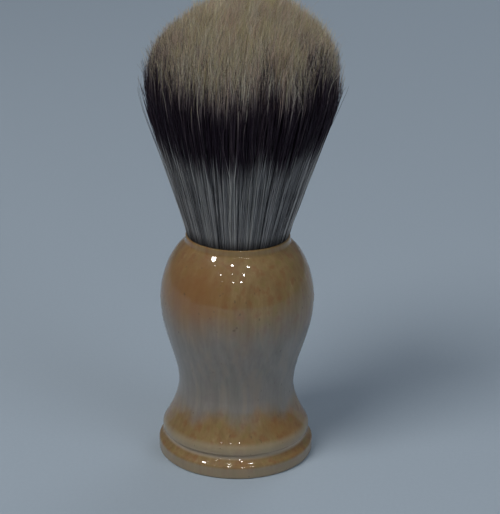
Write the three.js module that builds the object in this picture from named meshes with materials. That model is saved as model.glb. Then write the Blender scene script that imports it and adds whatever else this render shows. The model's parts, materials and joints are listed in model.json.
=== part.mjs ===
// A shaving brush: a turned, lacquered wooden handle with a bound and potted knot of hair.
// Millimetres, +Z up the brush's axis, origin at the centre of the handle's flat underside.
import * as THREE from 'three';

// ---- Driving dimensions ----

const HANDLE_HEIGHT = 52;
const BASE_RADIUS = 17.75;
const RING_HEIGHT = 3;
const GROOVE_HEIGHT = 4.8;
const GROOVE_RADIUS = 16.2;
const FOOT_HEIGHT = 6.7;
const FOOT_RADIUS = 16.75;
const WAIST_HEIGHT = 17;
const WAIST_RADIUS = 13.15;
const BULB_HEIGHT = 37;
const BULB_RADIUS = 17.35;
const COLLAR_HEIGHT = 50.3;
const COLLAR_RADIUS = 12;
const LIP_RADIUS = 11.7;

const SOCKET_RADIUS = 11.2;
const SOCKET_DEPTH = 16;

const TUFT_HEIGHT = 54;
const TUFT_RADIUS = 21.1;
const DOME_HEIGHT = 18.5;
const BEND_SPACING = 11;
const BEND_LIMIT = THREE.MathUtils.degToRad(12);

// ---- Fits and fineness ----

const GLUE_GAP = 0.15;
const HAIR_GAP = 0.3;
const AROUND = 48;
const CURVE_STEPS = 6;

// ---- Sizes worked out from the driving dimensions ----

const SOCKET_FLOOR = HANDLE_HEIGHT - SOCKET_DEPTH;
const PLUG_RADIUS = SOCKET_RADIUS - 0.7;
const PLUG_HEIGHT = SOCKET_DEPTH / 2;
const PLUG_CHAMFER = 1;
const GLUE_FLOOR = 0.8;
const CORD_RADIUS = 0.45;
const CORD_TURNS = 3;
const CORD_PITCH = 2 * CORD_RADIUS + 0.12;
const CORD_CENTRE_RADIUS = SOCKET_RADIUS - CORD_RADIUS - 0.3;
const CORD_HEIGHT = CORD_TURNS * CORD_PITCH + 2 * CORD_RADIUS;
const BOUND_RADIUS = CORD_CENTRE_RADIUS - CORD_RADIUS - 0.2;
const TUFT_TOP = HANDLE_HEIGHT + TUFT_HEIGHT;
const BELLY_HEIGHT = TUFT_TOP - DOME_HEIGHT;
const FIRST_BEND = HANDLE_HEIGHT + 5;

// ---- Materials ----

const lacqueredWood = new THREE.MeshStandardMaterial({ color: 0xb98e58, roughness: 0.15, metalness: 0 });
const epoxy = new THREE.MeshStandardMaterial({ color: 0xd8cfae, roughness: 0.35, metalness: 0 });
const resin = new THREE.MeshStandardMaterial({ color: 0x8a7452, roughness: 0.4, metalness: 0 });
const cotton = new THREE.MeshStandardMaterial({ color: 0xe6dfcc, roughness: 0.9, metalness: 0 });
const greyHair = new THREE.MeshStandardMaterial({ color: 0x8b8d90, roughness: 0.8, metalness: 0 });
const blackHair = new THREE.MeshStandardMaterial({ color: 0x1c1920, roughness: 0.75, metalness: 0 });
const creamHair = new THREE.MeshStandardMaterial({ color: 0xb6a482, roughness: 0.85, metalness: 0 });

// ---- Shared shapes ----

// Turns an outline of (radius, height) points around the brush's axis.
function turned(name, outline, material) {
  const geometry = new THREE.LatheGeometry(outline, AROUND);
  geometry.rotateX(Math.PI / 2);
  const mesh = new THREE.Mesh(geometry, material);
  mesh.name = name;
  return mesh;
}

// Moves what stands at a height above the handle's underside to that height.
function raised(height, ...children) {
  const group = new THREE.Group();
  group.position.z = height;
  group.add(...children);
  return group;
}

// Radius of the hair bundle at a height: it fans straight out of the mouth, rounds off at its
// widest, and domes over.
function hairRadius(height) {
  if (height > BELLY_HEIGHT) {
    return TUFT_RADIUS * Math.sqrt(1 - ((height - BELLY_HEIGHT) / DOME_HEIGHT) ** 1.7);
  }
  const t = (height - HANDLE_HEIGHT) / (BELLY_HEIGHT - HANDLE_HEIGHT);
  return LIP_RADIUS + (TUFT_RADIUS - LIP_RADIUS) * (1.14 * t - 0.14 * t ** 11);
}

// How far a conical end face falls away from a bend's centre by the time it reaches the outside.
// Two such faces meet across a bend, so each one clears half of the bend's limit.
function coneDrop(bendHeight) {
  return hairRadius(bendHeight) * Math.tan(BEND_LIMIT * 0.55) + HAIR_GAP;
}

// ---- Handle ----

// The flat underside, the round ring, and the groove above it.
function turnBase(outline) {
  const edge = 0.6;
  outline.lineTo(BASE_RADIUS - edge, 0);
  outline.quadraticCurveTo(BASE_RADIUS, 0, BASE_RADIUS, edge);
  outline.lineTo(BASE_RADIUS, RING_HEIGHT - edge);
  outline.quadraticCurveTo(BASE_RADIUS, RING_HEIGHT, BASE_RADIUS - edge, RING_HEIGHT + edge / 2);
  outline.quadraticCurveTo(GROOVE_RADIUS, GROOVE_HEIGHT - edge, GROOVE_RADIUS, GROOVE_HEIGHT);
  outline.quadraticCurveTo(GROOVE_RADIUS, GROOVE_HEIGHT + edge / 2, FOOT_RADIUS, GROOVE_HEIGHT + edge);
}

// The flared foot, the waist, the bulb, and the shoulder that runs in to the short collar.
function turnBody(outline) {
  const coveHeight = WAIST_HEIGHT - FOOT_HEIGHT;
  const bulbRise = BULB_HEIGHT - WAIST_HEIGHT;
  const shoulderRise = COLLAR_HEIGHT - BULB_HEIGHT;
  const shoulderInset = BULB_RADIUS - COLLAR_RADIUS;
  outline.lineTo(FOOT_RADIUS, FOOT_HEIGHT);
  outline.bezierCurveTo(
    FOOT_RADIUS - 1.7, FOOT_HEIGHT + coveHeight * 0.28,
    WAIST_RADIUS, WAIST_HEIGHT - coveHeight * 0.36,
    WAIST_RADIUS, WAIST_HEIGHT);
  outline.bezierCurveTo(
    WAIST_RADIUS, WAIST_HEIGHT + bulbRise * 0.29,
    BULB_RADIUS, BULB_HEIGHT - bulbRise * 0.37,
    BULB_RADIUS, BULB_HEIGHT);
  outline.bezierCurveTo(
    BULB_RADIUS, BULB_HEIGHT + shoulderRise * 0.41,
    BULB_RADIUS - shoulderInset * 0.44, BULB_HEIGHT + shoulderRise * 0.84,
    COLLAR_RADIUS, COLLAR_HEIGHT);
  outline.quadraticCurveTo(LIP_RADIUS, COLLAR_HEIGHT + 0.2, LIP_RADIUS, COLLAR_HEIGHT + 0.9);
}

// The rounded lip and the flat-bottomed socket bored down from it.
function boreSocket(outline) {
  outline.lineTo(LIP_RADIUS, HANDLE_HEIGHT - 0.4);
  outline.quadraticCurveTo(LIP_RADIUS, HANDLE_HEIGHT, LIP_RADIUS - 0.3, HANDLE_HEIGHT);
  outline.quadraticCurveTo(SOCKET_RADIUS, HANDLE_HEIGHT, SOCKET_RADIUS, HANDLE_HEIGHT - 0.4);
  outline.lineTo(SOCKET_RADIUS, SOCKET_FLOOR);
  outline.lineTo(0, SOCKET_FLOOR);
}

function makeHandle() {
  const outline = new THREE.Path();
  outline.moveTo(0, 0);
  turnBase(outline);
  turnBody(outline);
  boreSocket(outline);
  return turned('handle', outline.getPoints(CURVE_STEPS), lacqueredWood);
}

// ---- Knot: what holds the hair in the socket ----

// A thin cup of epoxy between the plug and the socket.
function makeSocketGlue() {
  const outside = SOCKET_RADIUS - GLUE_GAP;
  const inside = PLUG_RADIUS + GLUE_GAP;
  const rim = GLUE_FLOOR + PLUG_HEIGHT * 0.7;
  const outline = [
    new THREE.Vector2(0, 0),
    new THREE.Vector2(outside, 0),
    new THREE.Vector2(outside, rim),
    new THREE.Vector2(inside, rim),
    new THREE.Vector2(inside, GLUE_FLOOR),
    new THREE.Vector2(0, GLUE_FLOOR),
  ];
  return turned('socket_glue', outline, epoxy);
}

// The resin plug that the hair's butt ends are potted in.
function makeKnotPlug() {
  const outline = [
    new THREE.Vector2(0, 0),
    new THREE.Vector2(PLUG_RADIUS - PLUG_CHAMFER, 0),
    new THREE.Vector2(PLUG_RADIUS, PLUG_CHAMFER),
    new THREE.Vector2(PLUG_RADIUS, PLUG_HEIGHT),
    new THREE.Vector2(0, PLUG_HEIGHT),
  ];
  return turned('knot_plug', outline, resin);
}

// A cord wound round the bundle just above the plug.
function makeBindingCord() {
  class Winding extends THREE.Curve {
    getPoint(t, target = new THREE.Vector3()) {
      const angle = t * CORD_TURNS * 2 * Math.PI;
      return target.set(
        CORD_CENTRE_RADIUS * Math.cos(angle),
        CORD_CENTRE_RADIUS * Math.sin(angle),
        CORD_RADIUS + t * CORD_TURNS * CORD_PITCH);
    }
  }
  const section = new THREE.Shape();
  section.absarc(0, 0, CORD_RADIUS, 0, 2 * Math.PI);
  const geometry = new THREE.ExtrudeGeometry(section, {
    extrudePath: new Winding(),
    steps: CORD_TURNS * 20,
    curveSegments: 5,
    bevelEnabled: false,
  });
  const mesh = new THREE.Mesh(geometry, cotton);
  mesh.name = 'binding_cord';
  return mesh;
}

// The still part of the hair: bound in the socket, then out of the mouth to the first bend.
function makeHairRoot(bottom) {
  const inMouth = SOCKET_RADIUS - HAIR_GAP;
  const spread = HANDLE_HEIGHT + 0.8;
  const rim = FIRST_BEND - coneDrop(FIRST_BEND);
  const boundTop = bottom + CORD_HEIGHT + HAIR_GAP;
  const outline = [
    new THREE.Vector2(0, 0),
    new THREE.Vector2(BOUND_RADIUS, 0),
    new THREE.Vector2(BOUND_RADIUS, boundTop - bottom),
    new THREE.Vector2(inMouth, boundTop - bottom + 1),
    new THREE.Vector2(inMouth, HANDLE_HEIGHT - bottom),
    new THREE.Vector2(hairRadius(spread), spread - bottom),
    new THREE.Vector2(hairRadius(rim), rim - bottom),
    new THREE.Vector2(0, FIRST_BEND - HAIR_GAP - bottom),
  ];
  return turned('hair_root', outline, greyHair);
}

// ---- Tuft: the hair above the first bend, in lengths that turn on each other ----

// One length of the tuft, drawn from its bend's centre. Its ends are shallow cones, so that it
// can turn by the bend's limit and still clear the lengths above and below.
function makeHairLength(name, bendHeight, material) {
  const low = bendHeight + coneDrop(bendHeight);
  const nextBend = bendHeight + BEND_SPACING;
  const high = nextBend - coneDrop(nextBend);
  const steps = 4;
  const outline = [new THREE.Vector2(0, HAIR_GAP)];
  for (let step = 0; step <= steps; step += 1) {
    const height = low + (high - low) * step / steps;
    outline.push(new THREE.Vector2(hairRadius(height), height - bendHeight));
  }
  outline.push(new THREE.Vector2(0, nextBend - HAIR_GAP - bendHeight));
  return turned(name, outline, material);
}

// The domed tips. Heights crowd towards the top, where the dome is flattest.
function makeHairTips(bendHeight) {
  const low = bendHeight + coneDrop(bendHeight);
  const steps = 8;
  const outline = [new THREE.Vector2(0, HAIR_GAP)];
  for (let step = 0; step <= steps; step += 1) {
    const height = TUFT_TOP - (TUFT_TOP - low) * (1 - step / steps) ** 2;
    outline.push(new THREE.Vector2(hairRadius(height), height - bendHeight));
  }
  return turned('hair_tips', outline, creamHair);
}

// ---- Assembly ----

function makeKnot() {
  const plugBottom = GLUE_FLOOR + GLUE_GAP;
  const hairBottom = plugBottom + PLUG_HEIGHT + GLUE_GAP;
  return raised(
    SOCKET_FLOOR + GLUE_GAP,
    makeSocketGlue(),
    raised(plugBottom, makeKnotPlug()),
    raised(hairBottom, makeHairRoot(SOCKET_FLOOR + GLUE_GAP + hairBottom)),
    raised(hairBottom + HAIR_GAP / 2, makeBindingCord()));
}

// Each length carries the next one, so a bend turns everything above it.
function makeTuft() {
  const bendHeight = (number) => FIRST_BEND + number * BEND_SPACING;
  const tips = raised(BEND_SPACING, makeHairTips(bendHeight(3)));
  const upper = raised(BEND_SPACING, makeHairLength('hair_upper', bendHeight(2), blackHair), tips);
  const middle = raised(BEND_SPACING, makeHairLength('hair_middle', bendHeight(1), blackHair), upper);
  return raised(FIRST_BEND, makeHairLength('hair_lower', bendHeight(0), greyHair), middle);
}

const shavingBrush = new THREE.Group();
shavingBrush.name = 'shaving_brush';
shavingBrush.add(makeHandle(), makeKnot(), makeTuft());

export default shavingBrush;
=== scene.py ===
"""A shaving brush: a turned, lacquered handle with a knot of banded hair, dressed over its CAD frame."""

import json
import math

import bpy
import numpy as np
from mathutils import Matrix, Vector


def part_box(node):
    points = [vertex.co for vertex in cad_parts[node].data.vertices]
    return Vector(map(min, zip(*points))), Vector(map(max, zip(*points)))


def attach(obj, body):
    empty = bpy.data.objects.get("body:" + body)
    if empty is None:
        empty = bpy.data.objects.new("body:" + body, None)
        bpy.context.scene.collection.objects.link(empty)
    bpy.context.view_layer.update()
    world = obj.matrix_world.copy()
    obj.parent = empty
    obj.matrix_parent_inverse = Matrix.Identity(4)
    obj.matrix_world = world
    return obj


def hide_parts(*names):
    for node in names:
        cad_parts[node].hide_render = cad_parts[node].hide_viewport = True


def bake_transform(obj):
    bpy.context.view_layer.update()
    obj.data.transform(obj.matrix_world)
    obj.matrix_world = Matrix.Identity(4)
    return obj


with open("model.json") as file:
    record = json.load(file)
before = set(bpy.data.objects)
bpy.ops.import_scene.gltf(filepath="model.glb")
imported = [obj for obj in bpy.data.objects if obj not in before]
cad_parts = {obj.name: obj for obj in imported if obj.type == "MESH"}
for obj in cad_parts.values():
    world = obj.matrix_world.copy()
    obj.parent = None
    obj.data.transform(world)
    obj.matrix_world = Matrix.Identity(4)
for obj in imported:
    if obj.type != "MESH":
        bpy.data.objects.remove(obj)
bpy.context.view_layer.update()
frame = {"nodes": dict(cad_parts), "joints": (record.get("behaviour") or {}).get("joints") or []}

# Lengths are in metres. Names that end in _mm or _MM hold millimetres, as do the heights and places inside
# the materials.
MM = 0.001
rng = np.random.default_rng(11)

# ---- Sizes read from the frame ----

HANDLE_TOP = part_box("handle")[1].z
TUFT_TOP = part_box("hair_tips")[1].z
TUFT_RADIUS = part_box("hair_upper")[1].x
SOCKET_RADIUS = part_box("socket_glue")[1].x
KNOT_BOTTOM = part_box("hair_root")[0].z
BENDS = [joint["pos_m"][2] for joint in frame["joints"]]
BEND_SPACING = BENDS[1] - BENDS[0]
CUTS = [bend + BEND_SPACING / 2 for bend in BENDS[:-1]]

# ---- The hair's outline ----

MOUTH_RADIUS = SOCKET_RADIUS + 0.35 * MM
BOUND_RADIUS = 0.84 * SOCKET_RADIUS
TUFT_LENGTH = TUFT_TOP - HANDLE_TOP
BLACK_HEIGHT = HANDLE_TOP + 0.352 * TUFT_LENGTH
BELLY_HEIGHT = HANDLE_TOP + 0.657 * TUFT_LENGTH
DOME_HEIGHT = TUFT_TOP - BELLY_HEIGHT
BAND_SPAN = TUFT_TOP + 4 * MM - KNOT_BOTTOM
LEAN = 2.8 * MM
CORE_TOP = TUFT_TOP - 6 * MM
CORE_SHARE = 0.8


def bundle_radius(heights):
    """Radius of the bundle: narrow where bound, flaring from the mouth, and upright past the belly."""
    neck = np.clip((heights - KNOT_BOTTOM) / (HANDLE_TOP - KNOT_BOTTOM), 0, 1)
    bound = BOUND_RADIUS + (MOUTH_RADIUS - BOUND_RADIUS) * neck ** 2 * (3 - 2 * neck)
    rise = np.clip((heights - HANDLE_TOP) / (BELLY_HEIGHT - HANDLE_TOP), 0, 1)
    return bound + (TUFT_RADIUS - MOUTH_RADIUS) * (1.14 * rise - 0.14 * rise ** 11)


def dome_height(share):
    """Height of the dome of tips, by the share of the way out from the axis."""
    return BELLY_HEIGHT + DOME_HEIGHT * (1 - np.clip(0.985 * share, 0, 1) ** 2) ** (1 / 1.6)


def core_radius(heights):
    """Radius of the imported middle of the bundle, inside the hairs that show."""
    over = np.clip((heights - BELLY_HEIGHT) / (CORE_TOP - BELLY_HEIGHT), 0, 1)
    return CORE_SHARE * bundle_radius(heights) * np.sqrt(1 - over ** 2)


def lean(heights):
    """How far the tuft leans to +X, most of all near its tips, as a used brush does."""
    rise = np.clip(heights - HANDLE_TOP, 0, None) / TUFT_LENGTH
    return LEAN * (0.25 * rise + 0.75 * rise ** 7)


# ---- Angles, from the front, -Y, turning towards +X ----

def heading(angle):
    """Unit (x, y) for an angle."""
    return np.stack([np.sin(angle), -np.cos(angle)], axis=-1)


def turns(count):
    """Angles in even steps all the way round."""
    return np.arange(count) * 2 * math.pi / count


def any_way(count):
    """Random angles."""
    return rng.uniform(0, 2 * math.pi, count)


# ---- The handle's outline ----

def cad_outline(node):
    """The (radius, height) outline of a turned CAD solid, in order from the axis at its bottom."""
    mesh = frame["nodes"][node].data
    places = {}
    for vertex in mesh.vertices:
        x, y, z = vertex.co
        if abs(x) < 1e-6 and y < 1e-6:
            places[vertex.index] = (round(-y, 6), round(z, 6))
    joined = {place: set() for place in places.values()}
    for edge in mesh.edges:
        ends = [places.get(index) for index in edge.vertices]
        if None not in ends and ends[0] != ends[1]:
            joined[ends[0]].add(ends[1])
            joined[ends[1]].add(ends[0])
    outline = [min((place for place in joined if place[0] == 0), key=lambda place: place[1])]
    while True:
        onward = [place for place in joined[outline[-1]] if place not in outline]
        if not onward:
            return np.array(outline)
        outline.append(min(onward, key=lambda place: math.dist(place, outline[-1])))


def refined_outline(outline, spacing, straight):
    """More points along an outline: a smooth curve through its short runs, and its long runs straight."""
    points = [outline[0]]
    for number in range(len(outline) - 1):
        a, b = outline[number], outline[number + 1]
        run = math.dist(a, b)
        before = outline[number - 1] if number else a
        after = outline[number + 2] if number + 2 < len(outline) else b
        if math.dist(before, a) > straight:
            before = a
        if math.dist(b, after) > straight:
            after = b
        count = max(1, round(run / spacing))
        for step in range(1, count + 1):
            t = step / count
            line = a + (b - a) * t
            curve = 0.5 * (2 * a + (b - before) * t + (2 * before - 5 * a + 4 * b - after) * t ** 2
                           + (3 * a - before - 3 * b + after) * t ** 3)
            points.append(line if run > straight else curve)
    return np.array(points)


def side_height_mm(outline, pick, low, high):
    """Height of the side's narrowest (pick is min) or widest (pick is max) place between low and high."""
    side = outline[1:outline[:, 1].argmax() + 1]
    return pick(tuple(point) for point in side if low <= point[1] <= high)[1] / MM


HANDLE_OUTLINE = cad_outline("handle")
GROOVE_MM = side_height_mm(HANDLE_OUTLINE, min, 2 * MM, HANDLE_TOP / 8)
RING_MM = side_height_mm(HANDLE_OUTLINE, max, 0, HANDLE_TOP / 16)
FOOT_MM = side_height_mm(HANDLE_OUTLINE, max, GROOVE_MM * MM, HANDLE_TOP / 4)
BULB_MM = side_height_mm(HANDLE_OUTLINE, max, HANDLE_TOP / 2, HANDLE_TOP)


# ---- Node recipes ----

class Recipe:
    """Adds nodes to the shader of one new material or world.

    A value given to an input is a number, a colour or another node's output.
    """

    def __init__(self, owner, shader="Principled BSDF"):
        self.owner = owner
        owner.use_nodes = True
        self.tree = owner.node_tree
        self.shader = self.tree.nodes[shader]

    def put(self, socket, value):
        if isinstance(value, bpy.types.NodeSocket):
            self.tree.links.new(value, socket)
        else:
            socket.default_value = value

    def node(self, kind, **inputs):
        made = self.tree.nodes.new(kind)
        for name, value in inputs.items():
            self.put(made.inputs[name], value)
        return made

    def math(self, operation, a, b=0.0, c=0.0, clamp=False):
        made = self.tree.nodes.new("ShaderNodeMath")
        made.operation = operation
        made.use_clamp = clamp
        for socket, value in zip(made.inputs, (a, b, c)):
            self.put(socket, value)
        return made.outputs[0]

    def distance(self, a, b):
        made = self.tree.nodes.new("ShaderNodeVectorMath")
        made.operation = "DISTANCE"
        self.put(made.inputs[0], a)
        self.put(made.inputs[1], b)
        return made.outputs["Value"]

    def mix(self, share, a, b, blend="MIX"):
        made = self.tree.nodes.new("ShaderNodeMix")
        made.data_type = "RGBA"
        made.blend_type = blend
        self.put(made.inputs[0], share)
        self.put(made.inputs[6], a)
        self.put(made.inputs[7], b)
        return made.outputs[2]

    def stained_or_lit(self, colour, mask, strength, stain_or_light):
        """The colour, moved by up to strength towards another colour where the mask is 1. It lays real
        stains and also painted light and shade.
        """
        return self.mix(self.math("MULTIPLY", mask, strength), colour, (*stain_or_light, 1))

    def noise(self, vector, scale, detail=2.0, roughness=0.5):
        made = self.node("ShaderNodeTexNoise", Vector=vector, Scale=scale, Detail=detail,
                         Roughness=roughness)
        return made.outputs["Fac"]

    def step(self, value, low, high):
        """0 below low, 1 above high, and smooth between them."""
        made = self.tree.nodes.new("ShaderNodeMapRange")
        made.interpolation_type = "SMOOTHSTEP"
        self.put(made.inputs["Value"], value)
        self.put(made.inputs["From Min"], low)
        self.put(made.inputs["From Max"], high)
        return made.outputs["Result"]

    def band(self, value, low, high, rise, fall):
        """0 below low and above high, and 1 between them once past the rise and before the fall."""
        rising = self.step(value, low, low + rise)
        falling = self.step(value, high, high - fall)
        return self.math("MULTIPLY", rising, falling)

    def ramp(self, share, stops):
        made = self.tree.nodes.new("ShaderNodeValToRGB")
        self.put(made.inputs[0], share)
        elements = made.color_ramp.elements
        while len(elements) < len(stops):
            elements.new(0.5)
        for element, (position, colour) in zip(elements, stops):
            element.position = position
            element.color = (*colour, 1)
        return made.outputs["Color"]

    def place_mm(self, stretch=(1, 1, 1)):
        """Object coordinates in millimetres, drawn out along an axis where its stretch is under 1."""
        place = self.tree.nodes.new("ShaderNodeTexCoord").outputs["Object"]
        scale = [share / MM for share in stretch]
        return self.node("ShaderNodeMapping", Vector=place, Scale=scale).outputs[0]

    def split(self, vector):
        return self.node("ShaderNodeSeparateXYZ", Vector=vector).outputs

    def bump(self, height, strength, distance):
        made = self.node("ShaderNodeBump", Height=height, Strength=strength, Distance=distance)
        return made.outputs[0]

    def finish(self, **inputs):
        for name, value in inputs.items():
            self.put(self.shader.inputs[name.replace("_", " ")], value)
        return self.owner


# ---- Wood ----

PITH_MM = (-24.0, 13.0)
AMBER_PATCH_MM = (-10.0, -14.0, BULB_MM + 5)


def wood_tone(r, fibre, streak):
    """0 to 1 from dark to pale grain: growth rings round a pith off the axis, fibres and streaks."""
    x, y = r.split(r.place_mm())[:2]
    wander = r.noise(r.place_mm((1, 1, 0.12)), 0.09, 2.0)
    aside = r.math("SUBTRACT", x, PITH_MM[0])
    behind = r.math("SUBTRACT", y, PITH_MM[1])
    from_pith = r.math("SQRT", r.math("ADD", r.math("POWER", aside, 2.0), r.math("POWER", behind, 2.0)))
    ring_place = r.math("MULTIPLY_ADD", wander, 9.0, from_pith)
    rings = r.math("MULTIPLY_ADD", r.math("SINE", r.math("MULTIPLY", ring_place, 2.6)), 0.5, 0.5)
    tone = r.math("ADD", r.math("MULTIPLY", rings, 0.08), r.math("MULTIPLY", fibre, 0.46))
    return r.math("ADD", tone, r.math("MULTIPLY", streak, 0.46), clamp=True)


def amber_wood(r, tone, streak, blotch):
    """Wood under amber lacquer: honey patches, orange and olive blotches and one deep amber patch."""
    wood = r.ramp(tone, [(0.2, (0.17, 0.095, 0.035)), (0.42, (0.235, 0.145, 0.055)),
                         (0.58, (0.275, 0.18, 0.072)), (0.8, (0.36, 0.255, 0.125))])
    patch = r.step(r.noise(r.place_mm((1, 1, 0.5)), 0.11, 2.0), 0.5, 0.68)
    honey = r.stained_or_lit(wood, patch, 0.5, (0.30, 0.145, 0.04))
    honey = r.stained_or_lit(honey, r.step(blotch, 0.5, 0.68), 0.65, (0.24, 0.105, 0.035))
    honey = r.stained_or_lit(honey, r.step(blotch, 0.48, 0.3), 0.5, (0.22, 0.17, 0.05))
    ragged = r.math("MULTIPLY", r.math("ADD", streak, blotch), 9.0)
    from_patch = r.math("ADD", r.distance(r.place_mm(), AMBER_PATCH_MM), ragged)
    return r.stained_or_lit(honey, r.step(from_patch, 23.0, 10.0), 0.7, (0.25, 0.105, 0.03))


def waist_bounce_light(r, colour, height, tone, streak):
    """Painted bounce light: greys the wood from just over the foot up into the bulb, with ragged edges."""
    cloud = r.noise(r.place_mm((1, 1, 0.6)), 0.16, 3.0)
    ragged = r.math("ADD", height, r.math("MULTIPLY", r.math("SUBTRACT", cloud, 0.5), 10.0))
    waist = r.band(ragged, FOOT_MM + 3.8, BULB_MM + 7, 5.5, 16.0)
    bounce_grey = r.ramp(tone, [(0.2, (0.155, 0.151, 0.143)), (0.5, (0.212, 0.210, 0.206)),
                           (0.8, (0.28, 0.272, 0.262))])
    bounce_grey = r.stained_or_lit(bounce_grey, r.step(streak, 0.5, 0.66), 0.5, (0.25, 0.215, 0.18))
    return r.mix(r.math("MULTIPLY", waist, 0.78), colour, bounce_grey)


def pale_edge_light(r, colour, height):
    """Painted reflected light: paler wood on the foot's lip, in the groove and round the base ring."""
    lip = r.band(height, GROOVE_MM + 0.2, FOOT_MM + 1.5, 1.2, 1.2)
    groove = r.band(height, GROOVE_MM - 0.9, GROOVE_MM + 1.4, 0.7, 1.0)
    ring = r.step(height, RING_MM + 0.6, RING_MM - 0.2)
    edge_lit = r.stained_or_lit(colour, lip, 0.6, (0.34, 0.295, 0.205))
    edge_lit = r.stained_or_lit(edge_lit, groove, 0.7, (0.44, 0.375, 0.29))
    return r.stained_or_lit(edge_lit, ring, 0.5, (0.31, 0.275, 0.21))


def lacquered_wood():
    """Turned wood with upright grain, amber above and below a waist greyed by painted bounce light, under
    clear gloss lacquer.
    """
    r = Recipe(bpy.data.materials.new("lacquered_wood"))
    height = r.split(r.place_mm())[2]
    fibre = r.noise(r.place_mm((1, 1, 0.045)), 1.5, 4.0, 0.62)
    streak = r.noise(r.place_mm((1, 1, 0.07)), 0.42, 3.0, 0.55)
    blotch = r.noise(r.place_mm((1, 1, 0.7)), 0.55, 3.0, 0.6)
    tone = wood_tone(r, fibre, streak)
    colour = amber_wood(r, tone, streak, blotch)
    # Painted bounce light greys the waist.
    colour = waist_bounce_light(r, colour, height, tone, streak)
    # Painted reflected light pales the lip, the groove and the ring's side.
    colour = pale_edge_light(r, colour, height)
    pores = r.step(r.noise(r.place_mm((1, 1, 0.5)), 1.3, 1.0), 0.72, 0.8)
    colour = r.stained_or_lit(colour, pores, 0.5, (0.07, 0.045, 0.03))
    gloss = r.math("MULTIPLY_ADD", r.step(blotch, 0.35, 0.65), 0.3, 0.7)
    ripple = r.bump(r.noise(r.place_mm(), 0.35, 1.0), 0.15, 0.5 * MM)
    rough = r.math("MULTIPLY_ADD", fibre, 0.18, 0.42)
    grain = r.bump(fibre, 0.12, 0.05 * MM)
    return r.finish(Base_Color=colour, Roughness=rough, Normal=grain, Specular_IOR_Level=0.3,
                    Coat_Weight=gloss, Coat_Roughness=0.05, Coat_IOR=1.52, Coat_Normal=ripple)


# ---- Hair colour ----

# The texture is cut into columns. A hair's column is a coarse step, which shifts its bands up or down, and
# inside that step a fine one, which counts through the shades and, for each shade, the tints.
COLUMNS = 256
SHIFTS = 16
FINE_STEPS = COLUMNS // SHIFTS
SHADES = 5
TINTS = 3


def above_knot_mm(height):
    """How far a height is above the knot's bottom."""
    return (height - KNOT_BOTTOM) / MM


def column_parts(r, column):
    """The band shift from -0.5 to 0.5, and the shade and the tint from 0 to 1, of a texture column."""
    coarse = r.math("FLOOR", r.math("DIVIDE", column, FINE_STEPS))
    fine = r.math("SUBTRACT", column, r.math("MULTIPLY", coarse, FINE_STEPS))
    shift = r.math("SUBTRACT", r.math("DIVIDE", coarse, SHIFTS - 1), 0.5)
    shade = r.math("DIVIDE", r.math("FLOOR", r.math("DIVIDE", fine, TINTS)), SHADES - 1)
    tint = r.math("DIVIDE", r.math("MODULO", fine, TINTS), TINTS - 1)
    return shift, shade, tint


def banded_hair(name, depth_shade=1.0):
    """Grey root, black middle and cream tip, by a hair's own place in its texture.

    u picks the hair's column, and v runs up it. Painted shade darkens it near the mouth.
    """
    r = Recipe(bpy.data.materials.new(name))
    uv = r.tree.nodes.new("ShaderNodeUVMap")
    uv.uv_map = "OFBake"
    place = r.split(uv.outputs[0])
    column = r.math("FLOOR", r.math("MULTIPLY", place[0], COLUMNS))
    shift, shade, tint = column_parts(r, column)
    up = r.math("MULTIPLY", place[1], BAND_SPAN / MM)
    flicker_place = r.node("ShaderNodeCombineXYZ", X=r.math("MULTIPLY", column, 7.31),
                           Y=r.math("MULTIPLY", up, 0.7), Z=0.0)
    flicker = r.noise(flicker_place.outputs[0], 1.0, 2.0)
    black_from = r.math("MULTIPLY_ADD", shift, 10.0, above_knot_mm(BLACK_HEIGHT))
    cream_from = r.math("MULTIPLY_ADD", shift, 22.0, above_knot_mm(BELLY_HEIGHT))
    to_black = r.step(up, r.math("SUBTRACT", black_from, 3.5), r.math("ADD", black_from, 3.0))
    to_cream = r.step(up, r.math("SUBTRACT", cream_from, 5.0), r.math("ADD", cream_from, 6.5))
    black = black_hair(r, shade)
    smoky = r.mix(r.step(to_cream, 0.0, 0.6), black, (0.30, 0.245, 0.24, 1))
    banded = r.mix(to_black, grey_hair(r, shade, flicker), smoky)
    banded = r.mix(r.step(to_cream, 0.35, 1.0), banded, cream_hair(r, shade, flicker, tint))
    mouth = above_knot_mm(HANDLE_TOP)
    # Painted shade: the hairs darken from 3 mm above the mouth down into it.
    mouth_shaded = r.stained_or_lit(banded, r.step(up, mouth + 3.2, mouth - 0.2), 0.85, (0.02, 0.015, 0.015))
    dimmed = r.mix(1.0, mouth_shaded, (depth_shade, depth_shade, depth_shade, 1), "MULTIPLY")
    return r.finish(Base_Color=dimmed, Roughness=0.55, Specular_IOR_Level=0.35)


def grey_hair(r, shade, flicker):
    """Grey from the root up to the black band."""
    tone = r.math("MULTIPLY_ADD", shade, 0.7, r.math("MULTIPLY", flicker, 0.3))
    return r.ramp(tone, [(0.12, (0.05, 0.048, 0.052)), (0.3, (0.19, 0.187, 0.192)),
                         (0.6, (0.325, 0.32, 0.322)), (0.9, (0.445, 0.44, 0.425))])


def black_hair(r, shade):
    """Purplish black, a little lighter on the palest hairs."""
    return r.ramp(shade, [(0.0, (0.009, 0.002, 0.010)), (0.7, (0.020, 0.009, 0.020)),
                          (1.0, (0.058, 0.04, 0.052))])


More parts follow.
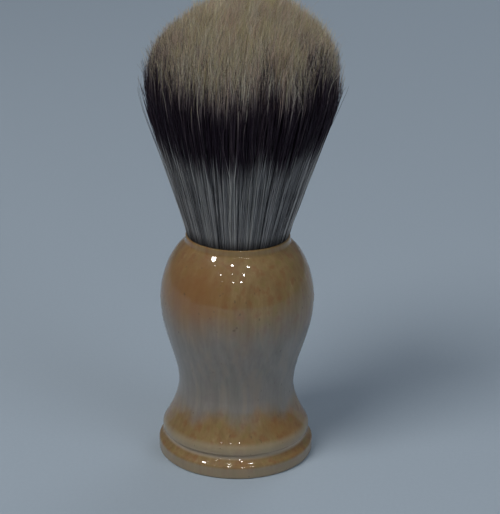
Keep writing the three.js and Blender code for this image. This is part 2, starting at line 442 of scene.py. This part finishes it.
def cream_hair(r, shade, flicker, tint):
    """Cream, tinted yellow, plain or pink."""
    tone = r.math("MULTIPLY_ADD", shade, 0.55, r.math("MULTIPLY", flicker, 0.45))
    cream = r.ramp(tone, [(0.15, (0.22, 0.17, 0.12)), (0.4, (0.54, 0.48, 0.36)),
                          (0.65, (0.72, 0.67, 0.53)), (0.9, (0.86, 0.83, 0.73))])
    stain_or_light = r.ramp(tint, [(0.0, (1.0, 0.98, 0.76)), (0.5, (1.0, 1.0, 1.0)), (1.0, (1.0, 0.84, 0.84))])
    return r.mix(1.0, cream, stain_or_light, "MULTIPLY")


# ---- Other materials ----

def cured_resin(name, colour, deep, roughness):
    """Cast resin with a faint cloudiness."""
    r = Recipe(bpy.data.materials.new(name))
    cloud = r.noise(r.place_mm(), 0.5, 3.0)
    bubbles = r.noise(r.place_mm(), 2.5, 1.0)
    tint = r.mix(cloud, (*deep, 1), (*colour, 1))
    return r.finish(Base_Color=tint, Roughness=roughness, Normal=r.bump(bubbles, 0.2, 0.1 * MM))


def twisted_cotton():
    """Cotton cord whose plies show as fine slanting stripes."""
    r = Recipe(bpy.data.materials.new("twisted_cotton"))
    x, y, z = r.split(r.place_mm())
    angle = r.math("ARCTAN2", y, x)
    slant = r.math("ADD", r.math("MULTIPLY", angle, 60.0), r.math("MULTIPLY", z, 5.0))
    ply = r.math("ABSOLUTE", r.math("SINE", slant))
    fuzz = r.noise(r.place_mm(), 6.0, 2.0)
    tint = r.mix(r.math("MULTIPLY", ply, fuzz), (0.45, 0.41, 0.33, 1), (0.75, 0.71, 0.62, 1))
    return r.finish(Base_Color=tint, Roughness=0.9, Normal=r.bump(ply, 0.5, 0.1 * MM))


def studio_paper():
    """Pale, slightly blue paper with a very fine tooth."""
    r = Recipe(bpy.data.materials.new("studio_paper"))
    tooth = r.noise(r.place_mm(), 1.2, 3.0)
    tint = r.mix(tooth, (0.43, 0.52, 0.62, 1), (0.47, 0.56, 0.66, 1))
    return r.finish(Base_Color=tint, Roughness=0.85, Specular_IOR_Level=0.2)


def studio_sky():
    """Soft grey-blue sky that darkens towards the horizon, to nearly the far floor's tone."""
    r = Recipe(bpy.data.worlds.new("studio_sky"), "Background")
    direction = r.tree.nodes.new("ShaderNodeTexCoord").outputs["Generated"]
    upward = r.split(direction)[2]
    sky = r.mix(r.step(upward, 0.0, 0.2), (0.36, 0.45, 0.60, 1), (0.62, 0.68, 0.76, 1))
    return r.finish(Color=sky, Strength=0.17)


# ---- Meshes ----

def split_corners(points, faces, chosen):
    """Gives the chosen faces corner points of their own, in the same places."""
    corners = faces[chosen]
    faces[chosen] = len(points) + np.arange(corners.size).reshape(corners.shape)
    return np.vstack([points, points[corners.ravel()]]), faces


def mesh_piece(name, points, faces, uv, material, flat=None):
    """A smooth piece from arrays of points, equal-sized faces and a (u, v) for each face corner.

    flat marks the faces that are shaded flat, the end caps. They get corner points of their own, so that
    they don't bend the normals of the sides.
    """
    points = np.asarray(points, np.float32)
    faces = np.asarray(faces, np.int32)
    if flat is None:
        flat = np.zeros(len(faces), bool)
    points, faces = split_corners(points, faces, flat)
    mesh = bpy.data.meshes.new(name)
    mesh.vertices.add(len(points))
    mesh.vertices.foreach_set("co", points.ravel())
    mesh.loops.add(faces.size)
    mesh.loops.foreach_set("vertex_index", faces.ravel())
    mesh.polygons.add(len(faces))
    mesh.polygons.foreach_set("loop_start", np.arange(len(faces), dtype=np.int32) * faces.shape[1])
    mesh.update(calc_edges=True)
    mesh.polygons.foreach_set("use_smooth", ~flat)
    layer = mesh.uv_layers.new(name="OFBake")
    layer.data.foreach_set("uv", np.asarray(uv, np.float32).ravel())
    mesh.materials.append(material)
    mesh.validate()
    piece = bpy.data.objects.new(name, mesh)
    bpy.context.scene.collection.objects.link(piece)
    return piece


def ring_piece(name, rings, ends, u, v, material, flat_ends=False):
    """A closed piece through rings of points, drawn to a point at each end.

    rings is (rings, around, 3). u holds a left and a right value for each step around, and v holds a value
    for the first end, for each ring and for the last end.
    """
    count, around = rings.shape[:2]
    points = np.vstack([rings.reshape(-1, 3), ends])
    last = (count - 1) * around
    faces, uv = [], []
    for ring in range(count - 1):
        low, high = v[ring + 1], v[ring + 2]
        for step, (left, right) in enumerate(u):
            a, b = ring * around + step, ring * around + (step + 1) % around
            faces += [(a, b, b + around), (a, b + around, a + around)]
            uv += [(left, low), (right, low), (right, high), (left, low), (right, high), (left, high)]
    sides = len(faces)
    for step, (left, right) in enumerate(u):
        after = (step + 1) % around
        middle = (left + right) / 2
        faces += [(len(points) - 2, after, step), (len(points) - 1, last + step, last + after)]
        uv += [(middle, v[0]), (right, v[1]), (left, v[1])]
        uv += [(middle, v[-1]), (left, v[-2]), (right, v[-2])]
    flat = np.arange(len(faces)) >= sides if flat_ends else None
    return mesh_piece(name, points, faces, uv, material, flat)


def level_ring(radii, height, aside=0.0):
    """A ring of points at one height, with a radius for each step around, moved aside to +X."""
    flat = heading(turns(len(radii))) * radii[:, None] + (aside, 0)
    return np.column_stack([flat, np.full(len(radii), height)])


# ---- Handle ----

HANDLE_STEPS = 160


def make_handle():
    """The handle with its socket, turned from the CAD outline at a finer spacing."""
    outline = refined_outline(HANDLE_OUTLINE, 0.4 * MM, 6 * MM)
    circle = np.ones(HANDLE_STEPS)
    rings = np.array([level_ring(radius * circle, height) for radius, height in outline[1:-1]])
    ends = [(0, 0, height) for height in outline[[0, -1], 1]]
    u = [(step / HANDLE_STEPS, (step + 1) / HANDLE_STEPS) for step in range(HANDLE_STEPS)]
    runs = np.hypot(*np.diff(outline, axis=0).T)
    v = np.concatenate([[0], np.cumsum(runs)]) / runs.sum()
    piece = ring_piece("turned_handle", rings, ends, u, v, lacquered_wood())
    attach(piece, "handle")
    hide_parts("handle")


# ---- Hair ----

LOCKS = 520
TIP_CURL_LENGTH = 3.5 * MM

# Locks whose black band runs higher: the way they face, their spread, and their most rise in shift steps.
DARK_LOCKS = (
    (math.radians(-72), math.radians(30), 6.0),
    (math.radians(16), math.radians(5), 7.0),
    (math.radians(57), math.radians(14), 8.0),
    (math.radians(160), math.radians(12), 6.0),
    (math.radians(-140), math.radians(9), 5.0),
)


class Strands:
    """Hairs that run from the knot to the dome, each with a place in the bundle and a tip of its own.

    inner and outer bound their places, as shares of the way out from the axis, and width_mm bounds their
    half-widths. stray is the share of hairs that stand apart, and tip_curl_mm sets how far the tips curl.
    """

    def __init__(self, count, inner, outer, width_mm, stray=0.0, tip_curl_mm=0.38):
        self.count = count
        self.share = np.sqrt(rng.uniform(inner ** 2, outer ** 2, count))
        self.angle = any_way(count)
        self.set_tips(stray)
        self.set_curl(tip_curl_mm)
        self.width = rng.uniform(*width_mm, count) * MM
        self.gather()
        self.tip_height = np.maximum(self.tip_height, CUTS[-1] + 1.5 * MM)
        self.choose_columns()

    def set_tips(self, stray):
        """Ends the hairs unevenly on the dome. Stray hairs end lower and splay out."""
        count = self.count
        uneven = rng.normal(0, 0.5 * MM, count) - rng.exponential(0.6 * MM, count)
        self.tip_height = dome_height(self.share) + uneven
        self.splay = rng.normal(0, 0.02, count)
        strays = rng.uniform(size=count) < stray
        self.splay[strays] += rng.uniform(0.01, 0.09, strays.sum())
        self.tip_height[strays] -= rng.uniform(0, 12 * MM, strays.sum())

    def set_curl(self, tip_curl_mm):
        """Turns each hair a little round the axis, waves it along its length and curls its tip."""
        count = self.count
        self.twist = rng.normal(0, 0.035, count)
        self.curl_way = any_way(count)
        self.curl_size = rng.gamma(2.0, 0.1 * MM, count)
        self.curl_turns = rng.uniform(0.6, 2.4, count)
        self.curl_start = any_way(count)
        self.tip_way = any_way(count)
        self.tip_curl = rng.gamma(2.0, tip_curl_mm * MM, count)

    def gather(self):
        """Draws each tip towards the middle of its lock, whose hairs tend to one lift, shade and tint."""
        middle_share = np.sqrt(rng.uniform(0, 1, LOCKS))
        middle = TUFT_RADIUS * heading(any_way(LOCKS)) * middle_share[:, None]
        tip = TUFT_RADIUS * heading(self.angle) * self.share[:, None]
        nearest = np.array([np.argmin(((middle - place) ** 2).sum(axis=1)) for place in tip])
        pull = rng.uniform(0.05, 0.45, LOCKS)[nearest]
        self.lock_pull = (middle[nearest] - tip) * pull[:, None]
        self.tip_height += rng.normal(0, 0.5 * MM, LOCKS)[nearest]
        self.lock_shade = rng.normal(0, 1, LOCKS)[nearest]
        self.tint = rng.integers(0, TINTS, LOCKS)[nearest]
        loose = rng.uniform(size=self.count) < 0.35
        self.tint[loose] = rng.integers(0, TINTS, loose.sum())

    def choose_columns(self):
        """Picks each hair's texture column. Its shift and shade vary by lock and by chance."""
        count = self.count
        shift = 5.8 + 0.4 * self.lock_shade + rng.normal(0, 1.0, count) + rng.exponential(2.3, count)
        for angle, spread, rise in DARK_LOCKS:
            away = (self.angle - angle + math.pi) % (2 * math.pi) - math.pi
            shift += rise * np.exp(-(away / spread) ** 2) * rng.uniform(0, 1, count)
        shade = rng.beta(2.0, 1.5, count) * 4.3 + 0.6 * self.lock_shade
        # Four in ten of the outermost hairs take darker shades.
        darkened_rim_hairs = (self.share > 0.95) & (rng.uniform(size=count) < 0.4)
        shade[darkened_rim_hairs] *= 0.4
        coarse = np.clip(np.round(shift), 4, SHIFTS - 1)
        fine = np.clip(np.round(shade), 0, SHADES - 1) * TINTS + self.tint
        self.column = coarse * FINE_STEPS + fine

    def rise(self, heights):
        """0 at the mouth and 1 at each hair's own tip; heights is (hairs, rings)."""
        return np.clip((heights - HANDLE_TOP) / (self.tip_height - HANDLE_TOP)[:, None], 0, 1)

    def centres(self, heights):
        """Where each hair is at each of its heights, as (hairs, rings, 3)."""
        rise = self.rise(heights)
        angle = self.angle[:, None] + self.twist[:, None] * rise ** 2
        radius = self.share[:, None] * bundle_radius(heights) * (1 + self.splay[:, None] * rise ** 1.4)
        flat = heading(angle) * radius[..., None]
        flat += self.lock_pull[:, None, :] * (rise ** 2)[..., None]
        swing = np.sin(self.curl_start[:, None] + rise * self.curl_turns[:, None] * 2 * math.pi)
        wave = swing * self.curl_size[:, None] * np.sqrt(rise)
        flat += heading(self.curl_way)[:, None, :] * wave[..., None]
        near_tip = np.clip(1 - (self.tip_height[:, None] - heights) / TIP_CURL_LENGTH, 0, 1) ** 1.3
        flat += heading(self.tip_way)[:, None, :] * (self.tip_curl[:, None] * near_tip)[..., None]
        flat[..., 0] += lean(heights)
        return np.concatenate([flat, heights[..., None]], axis=2)

    def thickness(self, heights):
        """Half a hair's thickness: even to just past halfway up, then tapering to the tip."""
        taper = 1 - 0.75 * np.clip((self.rise(heights) - 0.55) / 0.45, 0, 1) ** 1.5
        return self.width[:, None] * taper


def strand_piece(name, strands, heights, material):
    """One closed three-sided tube for each hair, through its rings at the given heights."""
    count, rings = heights.shape
    turn = strands.curl_start[:, None] + np.array([0, 2, 4]) * math.pi / 3
    corner = np.stack([np.cos(turn), np.sin(turn), np.zeros_like(turn)], axis=2)
    points = strands.centres(heights)[:, :, None, :]
    points = points + corner[:, None, :, :] * strands.thickness(heights)[:, :, None, None]
    top = (rings - 1) * 3
    tube = [(0, 2, 1), (top, top + 1, top + 2)]
    for ring in range(rings - 1):
        for side in range(3):
            a, b = ring * 3 + side, ring * 3 + (side + 1) % 3
            tube += [(a, b, b + 3), (a, b + 3, a + 3)]
    ends = np.tile(np.arange(len(tube)) < 2, count)
    faces = (np.array(tube)[None] + np.arange(count)[:, None, None] * rings * 3).reshape(-1, 3)
    across = (np.array([0.1, 0.5, 0.9]) + strands.column[:, None]) / COLUMNS
    u = np.repeat(across[:, None, :], rings, axis=1)
    v = np.repeat(((heights - KNOT_BOTTOM) / BAND_SPAN)[:, :, None], 3, axis=2)
    uv = np.stack([u, v], axis=3).reshape(-1, 2)[faces]
    return mesh_piece(name, points.reshape(-1, 3), faces, uv, material, ends)


def bend_length(piece):
    """Applies a length of hair's transform to its points; it doesn't bend the length."""
    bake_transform(piece)


def make_lower_lengths(shell, hair):
    """The shell's three lower lengths, cut at level planes."""
    bounds = [KNOT_BOTTOM] + CUTS
    stands_for = ("hair_root", "hair_lower", "hair_middle")
    slots = ("hair_grey", "hair_grey", "hair_black")
    for number, (node, slot) in enumerate(zip(stands_for, slots)):
        low, high = bounds[number], bounds[number + 1]
        rings = np.linspace(low, high, 4)
        if number == 0:
            out = HANDLE_TOP + 2.5 * MM
            rings = np.array([low, HANDLE_TOP - 0.8 * MM, out, (out + high) / 2, high])
        heights = np.tile(rings, (shell.count, 1))
        piece = strand_piece(f"hair_length_{number + 1}", shell, heights, hair)
        bend_length(piece)
        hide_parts(node)


def make_tips(name, strands, hair, rings, longest=math.inf):
    """The last length of the hairs, which ends in their tips and starts no lower than the top cut."""
    start = np.maximum(strands.tip_height - longest, CUTS[-1])[:, None]
    heights = start + (strands.tip_height[:, None] - start) * np.array(rings)
    piece = strand_piece(name, strands, heights, hair)
    bend_length(piece)
    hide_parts("hair_upper", "hair_tips")


def make_hair():
    """The hairs that show: a shell all the way up, then the dome's tips, and short fuzz among them."""
    hair = banded_hair("banded_hair")
    shell = Strands(6400, 0.74, 0.985, (0.06, 0.11), stray=0.22)
    dome = Strands(9000, 0.0, 0.93, (0.045, 0.08))
    fuzz = Strands(9500, 0.0, 0.88, (0.05, 0.09), tip_curl_mm=0.5)
    make_lower_lengths(shell, hair)
    make_tips("hair_shell_tips", shell, hair, (0, 0.35, 0.65, 0.87, 1))
    make_tips("hair_dome_tips", dome, hair, (0, 0.5, 0.85, 1))
    make_tips("hair_dome_fuzz", fuzz, hair, (0, 0.4, 0.7, 1), longest=6 * MM)


CORE_STEPS = 180

# How far an end cap reaches along the texture, so that it isn't squashed to a line there.
CAP_V = 0.002


def core_levels(low, high):
    """Heights of the core's rings between two cuts, closer together towards its rounded top."""
    if high < CORE_TOP:
        return np.linspace(low, high, 9)
    heights = high - (high - low) * (1 - np.linspace(0, 1, 12)) ** 2
    heights[-1] = high - 0.05 * MM
    return heights


def make_core():
    """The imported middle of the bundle, as fluted solids under the hairs, cut at the same planes."""
    hair = banded_hair("packed_hair", 0.45)
    columns = rng.integers(5, 8, CORE_STEPS) * FINE_STEPS + rng.integers(0, SHADES * TINTS, CORE_STEPS)
    u = (columns[:, None] + np.array([0.1, 0.8])) / COLUMNS
    angles = turns(CORE_STEPS)
    flute = 1 + 0.012 * np.sin(angles * 45) + 0.01 * np.sin(angles * 30 + 2)
    bounds = [KNOT_BOTTOM] + CUTS + [CORE_TOP]
    for number, (low, high) in enumerate(zip(bounds, bounds[1:])):
        heights = core_levels(low, high)
        rings = [level_ring(core_radius(height) * flute, height, lean(height)) for height in heights]
        ends = [(lean(height), 0, height) for height in heights[[0, -1]]]
        up = (heights - KNOT_BOTTOM) / BAND_SPAN
        v = [up[0] + CAP_V, *up, up[-1] - CAP_V]
        name = f"packed_hair_{number + 1}"
        piece = ring_piece(name, np.array(rings), ends, u, v, hair, flat_ends=True)
        bend_length(piece)


# ---- Pieces inside the socket, which keep the frame's shapes ----

def dress_knot():
    looks = {
        "socket_glue": cured_resin("socket_epoxy", (0.62, 0.56, 0.40), (0.50, 0.43, 0.27), 0.3),
        "knot_plug": cured_resin("potting_resin", (0.30, 0.23, 0.14), (0.20, 0.15, 0.09), 0.45),
        "binding_cord": twisted_cotton(),
    }
    for node, material in looks.items():
        mesh = frame["nodes"][node].data
        mesh.materials.clear()
        mesh.materials.append(material)


# ---- Studio ----

CAMERA_PLACE = (2.75 * MM, -340.5 * MM, 170.4 * MM)
CAMERA_PITCH = math.radians(20.0)
CAMERA_ROLL = math.radians(0.8)
CAMERA_LENS_MM = 113.5
FLOOR_SIZE = 6.0
LIGHT_AIM = Vector((0, 0, 0.05))

# Each soft light: its place, power, size and colour.
SOFT_LIGHTS = {
    "soft_key": ((-0.6, -0.6, 1.0), 8.0, 0.7, (1.0, 0.96, 0.9)),
    "soft_fill": ((0.9, -0.8, 0.6), 3.2, 0.9, (0.92, 0.96, 1.0)),
    "soft_back": ((0.5, 1.0, 0.8), 2.2, 0.8, (0.96, 0.98, 1.0)),
}

# The ceiling lamps' places aside and forward, as shares of the ceiling's height, and their powers.
CEILING = 1.2
LAMP_COLUMNS = (-0.5, -0.07, 0.34)
LAMP_ROWS = {
    0.1: (11.0, 0.5, 0.0),
    0.43: (0.4, 6.0, 6.0),
    0.97: (2.0, 0.6, 8.0),
    1.5: (1.0, 1.2, 6.0),
}


def make_camera():
    camera = bpy.data.objects.new("camera", bpy.data.cameras.new("camera"))
    bpy.context.scene.collection.objects.link(camera)
    camera.location = CAMERA_PLACE
    tilt = Matrix.Rotation(math.pi / 2 - CAMERA_PITCH, 4, "X")
    camera.rotation_euler = (tilt @ Matrix.Rotation(CAMERA_ROLL, 4, "Z")).to_euler()
    camera.data.lens = CAMERA_LENS_MM
    camera.data.sensor_width = 36
    camera.data.clip_start = 0.01
    bpy.context.scene.camera = camera


def make_floor():
    square = [(0, 0), (1, 0), (1, 1), (0, 1)]
    corners = [((x - 0.5) * FLOOR_SIZE, (y - 0.5) * FLOOR_SIZE, 0) for x, y in square]
    floor = mesh_piece("floor", corners, [(0, 1, 2, 3)], square, studio_paper())


def place_light(data, place, energy, colour):
    data.energy = energy
    data.color = colour
    light = bpy.data.objects.new(data.name, data)
    bpy.context.scene.collection.objects.link(light)
    light.location = place
    light.rotation_euler = (Vector(place) - LIGHT_AIM).to_track_quat("Z", "Y").to_euler()
    return light


def hang_soft_lights():
    """Broad lights for the surfaces, kept out of the lacquer's reflections."""
    for name, (place, energy, size, colour) in SOFT_LIGHTS.items():
        data = bpy.data.lights.new(name, "AREA")
        data.shape = "DISK"
        data.size = size
        place_light(data, place, energy, colour).visible_glossy = False


def hang_ceiling_lamps():
    """A grid of small ceiling lamps, turned a little, that light only gloss, such as the lacquer's."""
    turn = Matrix.Rotation(math.radians(-6), 2)
    for forward, powers in LAMP_ROWS.items():
        for aside, power in zip(LAMP_COLUMNS, powers):
            if power:
                x, y = turn @ Vector((aside, -forward)) * CEILING
                data = bpy.data.lights.new("ceiling_lamp", "POINT")
                data.shadow_soft_size = 0.02 + 0.0035 * power
                place_light(data, (x, y, CEILING), power, (1.0, 0.97, 0.92)).visible_diffuse = False


def light_studio():
    bpy.context.scene.world = studio_sky()
    hang_soft_lights()
    hang_ceiling_lamps()
    bpy.context.scene.view_settings.view_transform = "Standard"


# ---- The whole brush ----

make_handle()
make_core()
make_hair()
dress_knot()
make_camera()
make_floor()
light_studio()
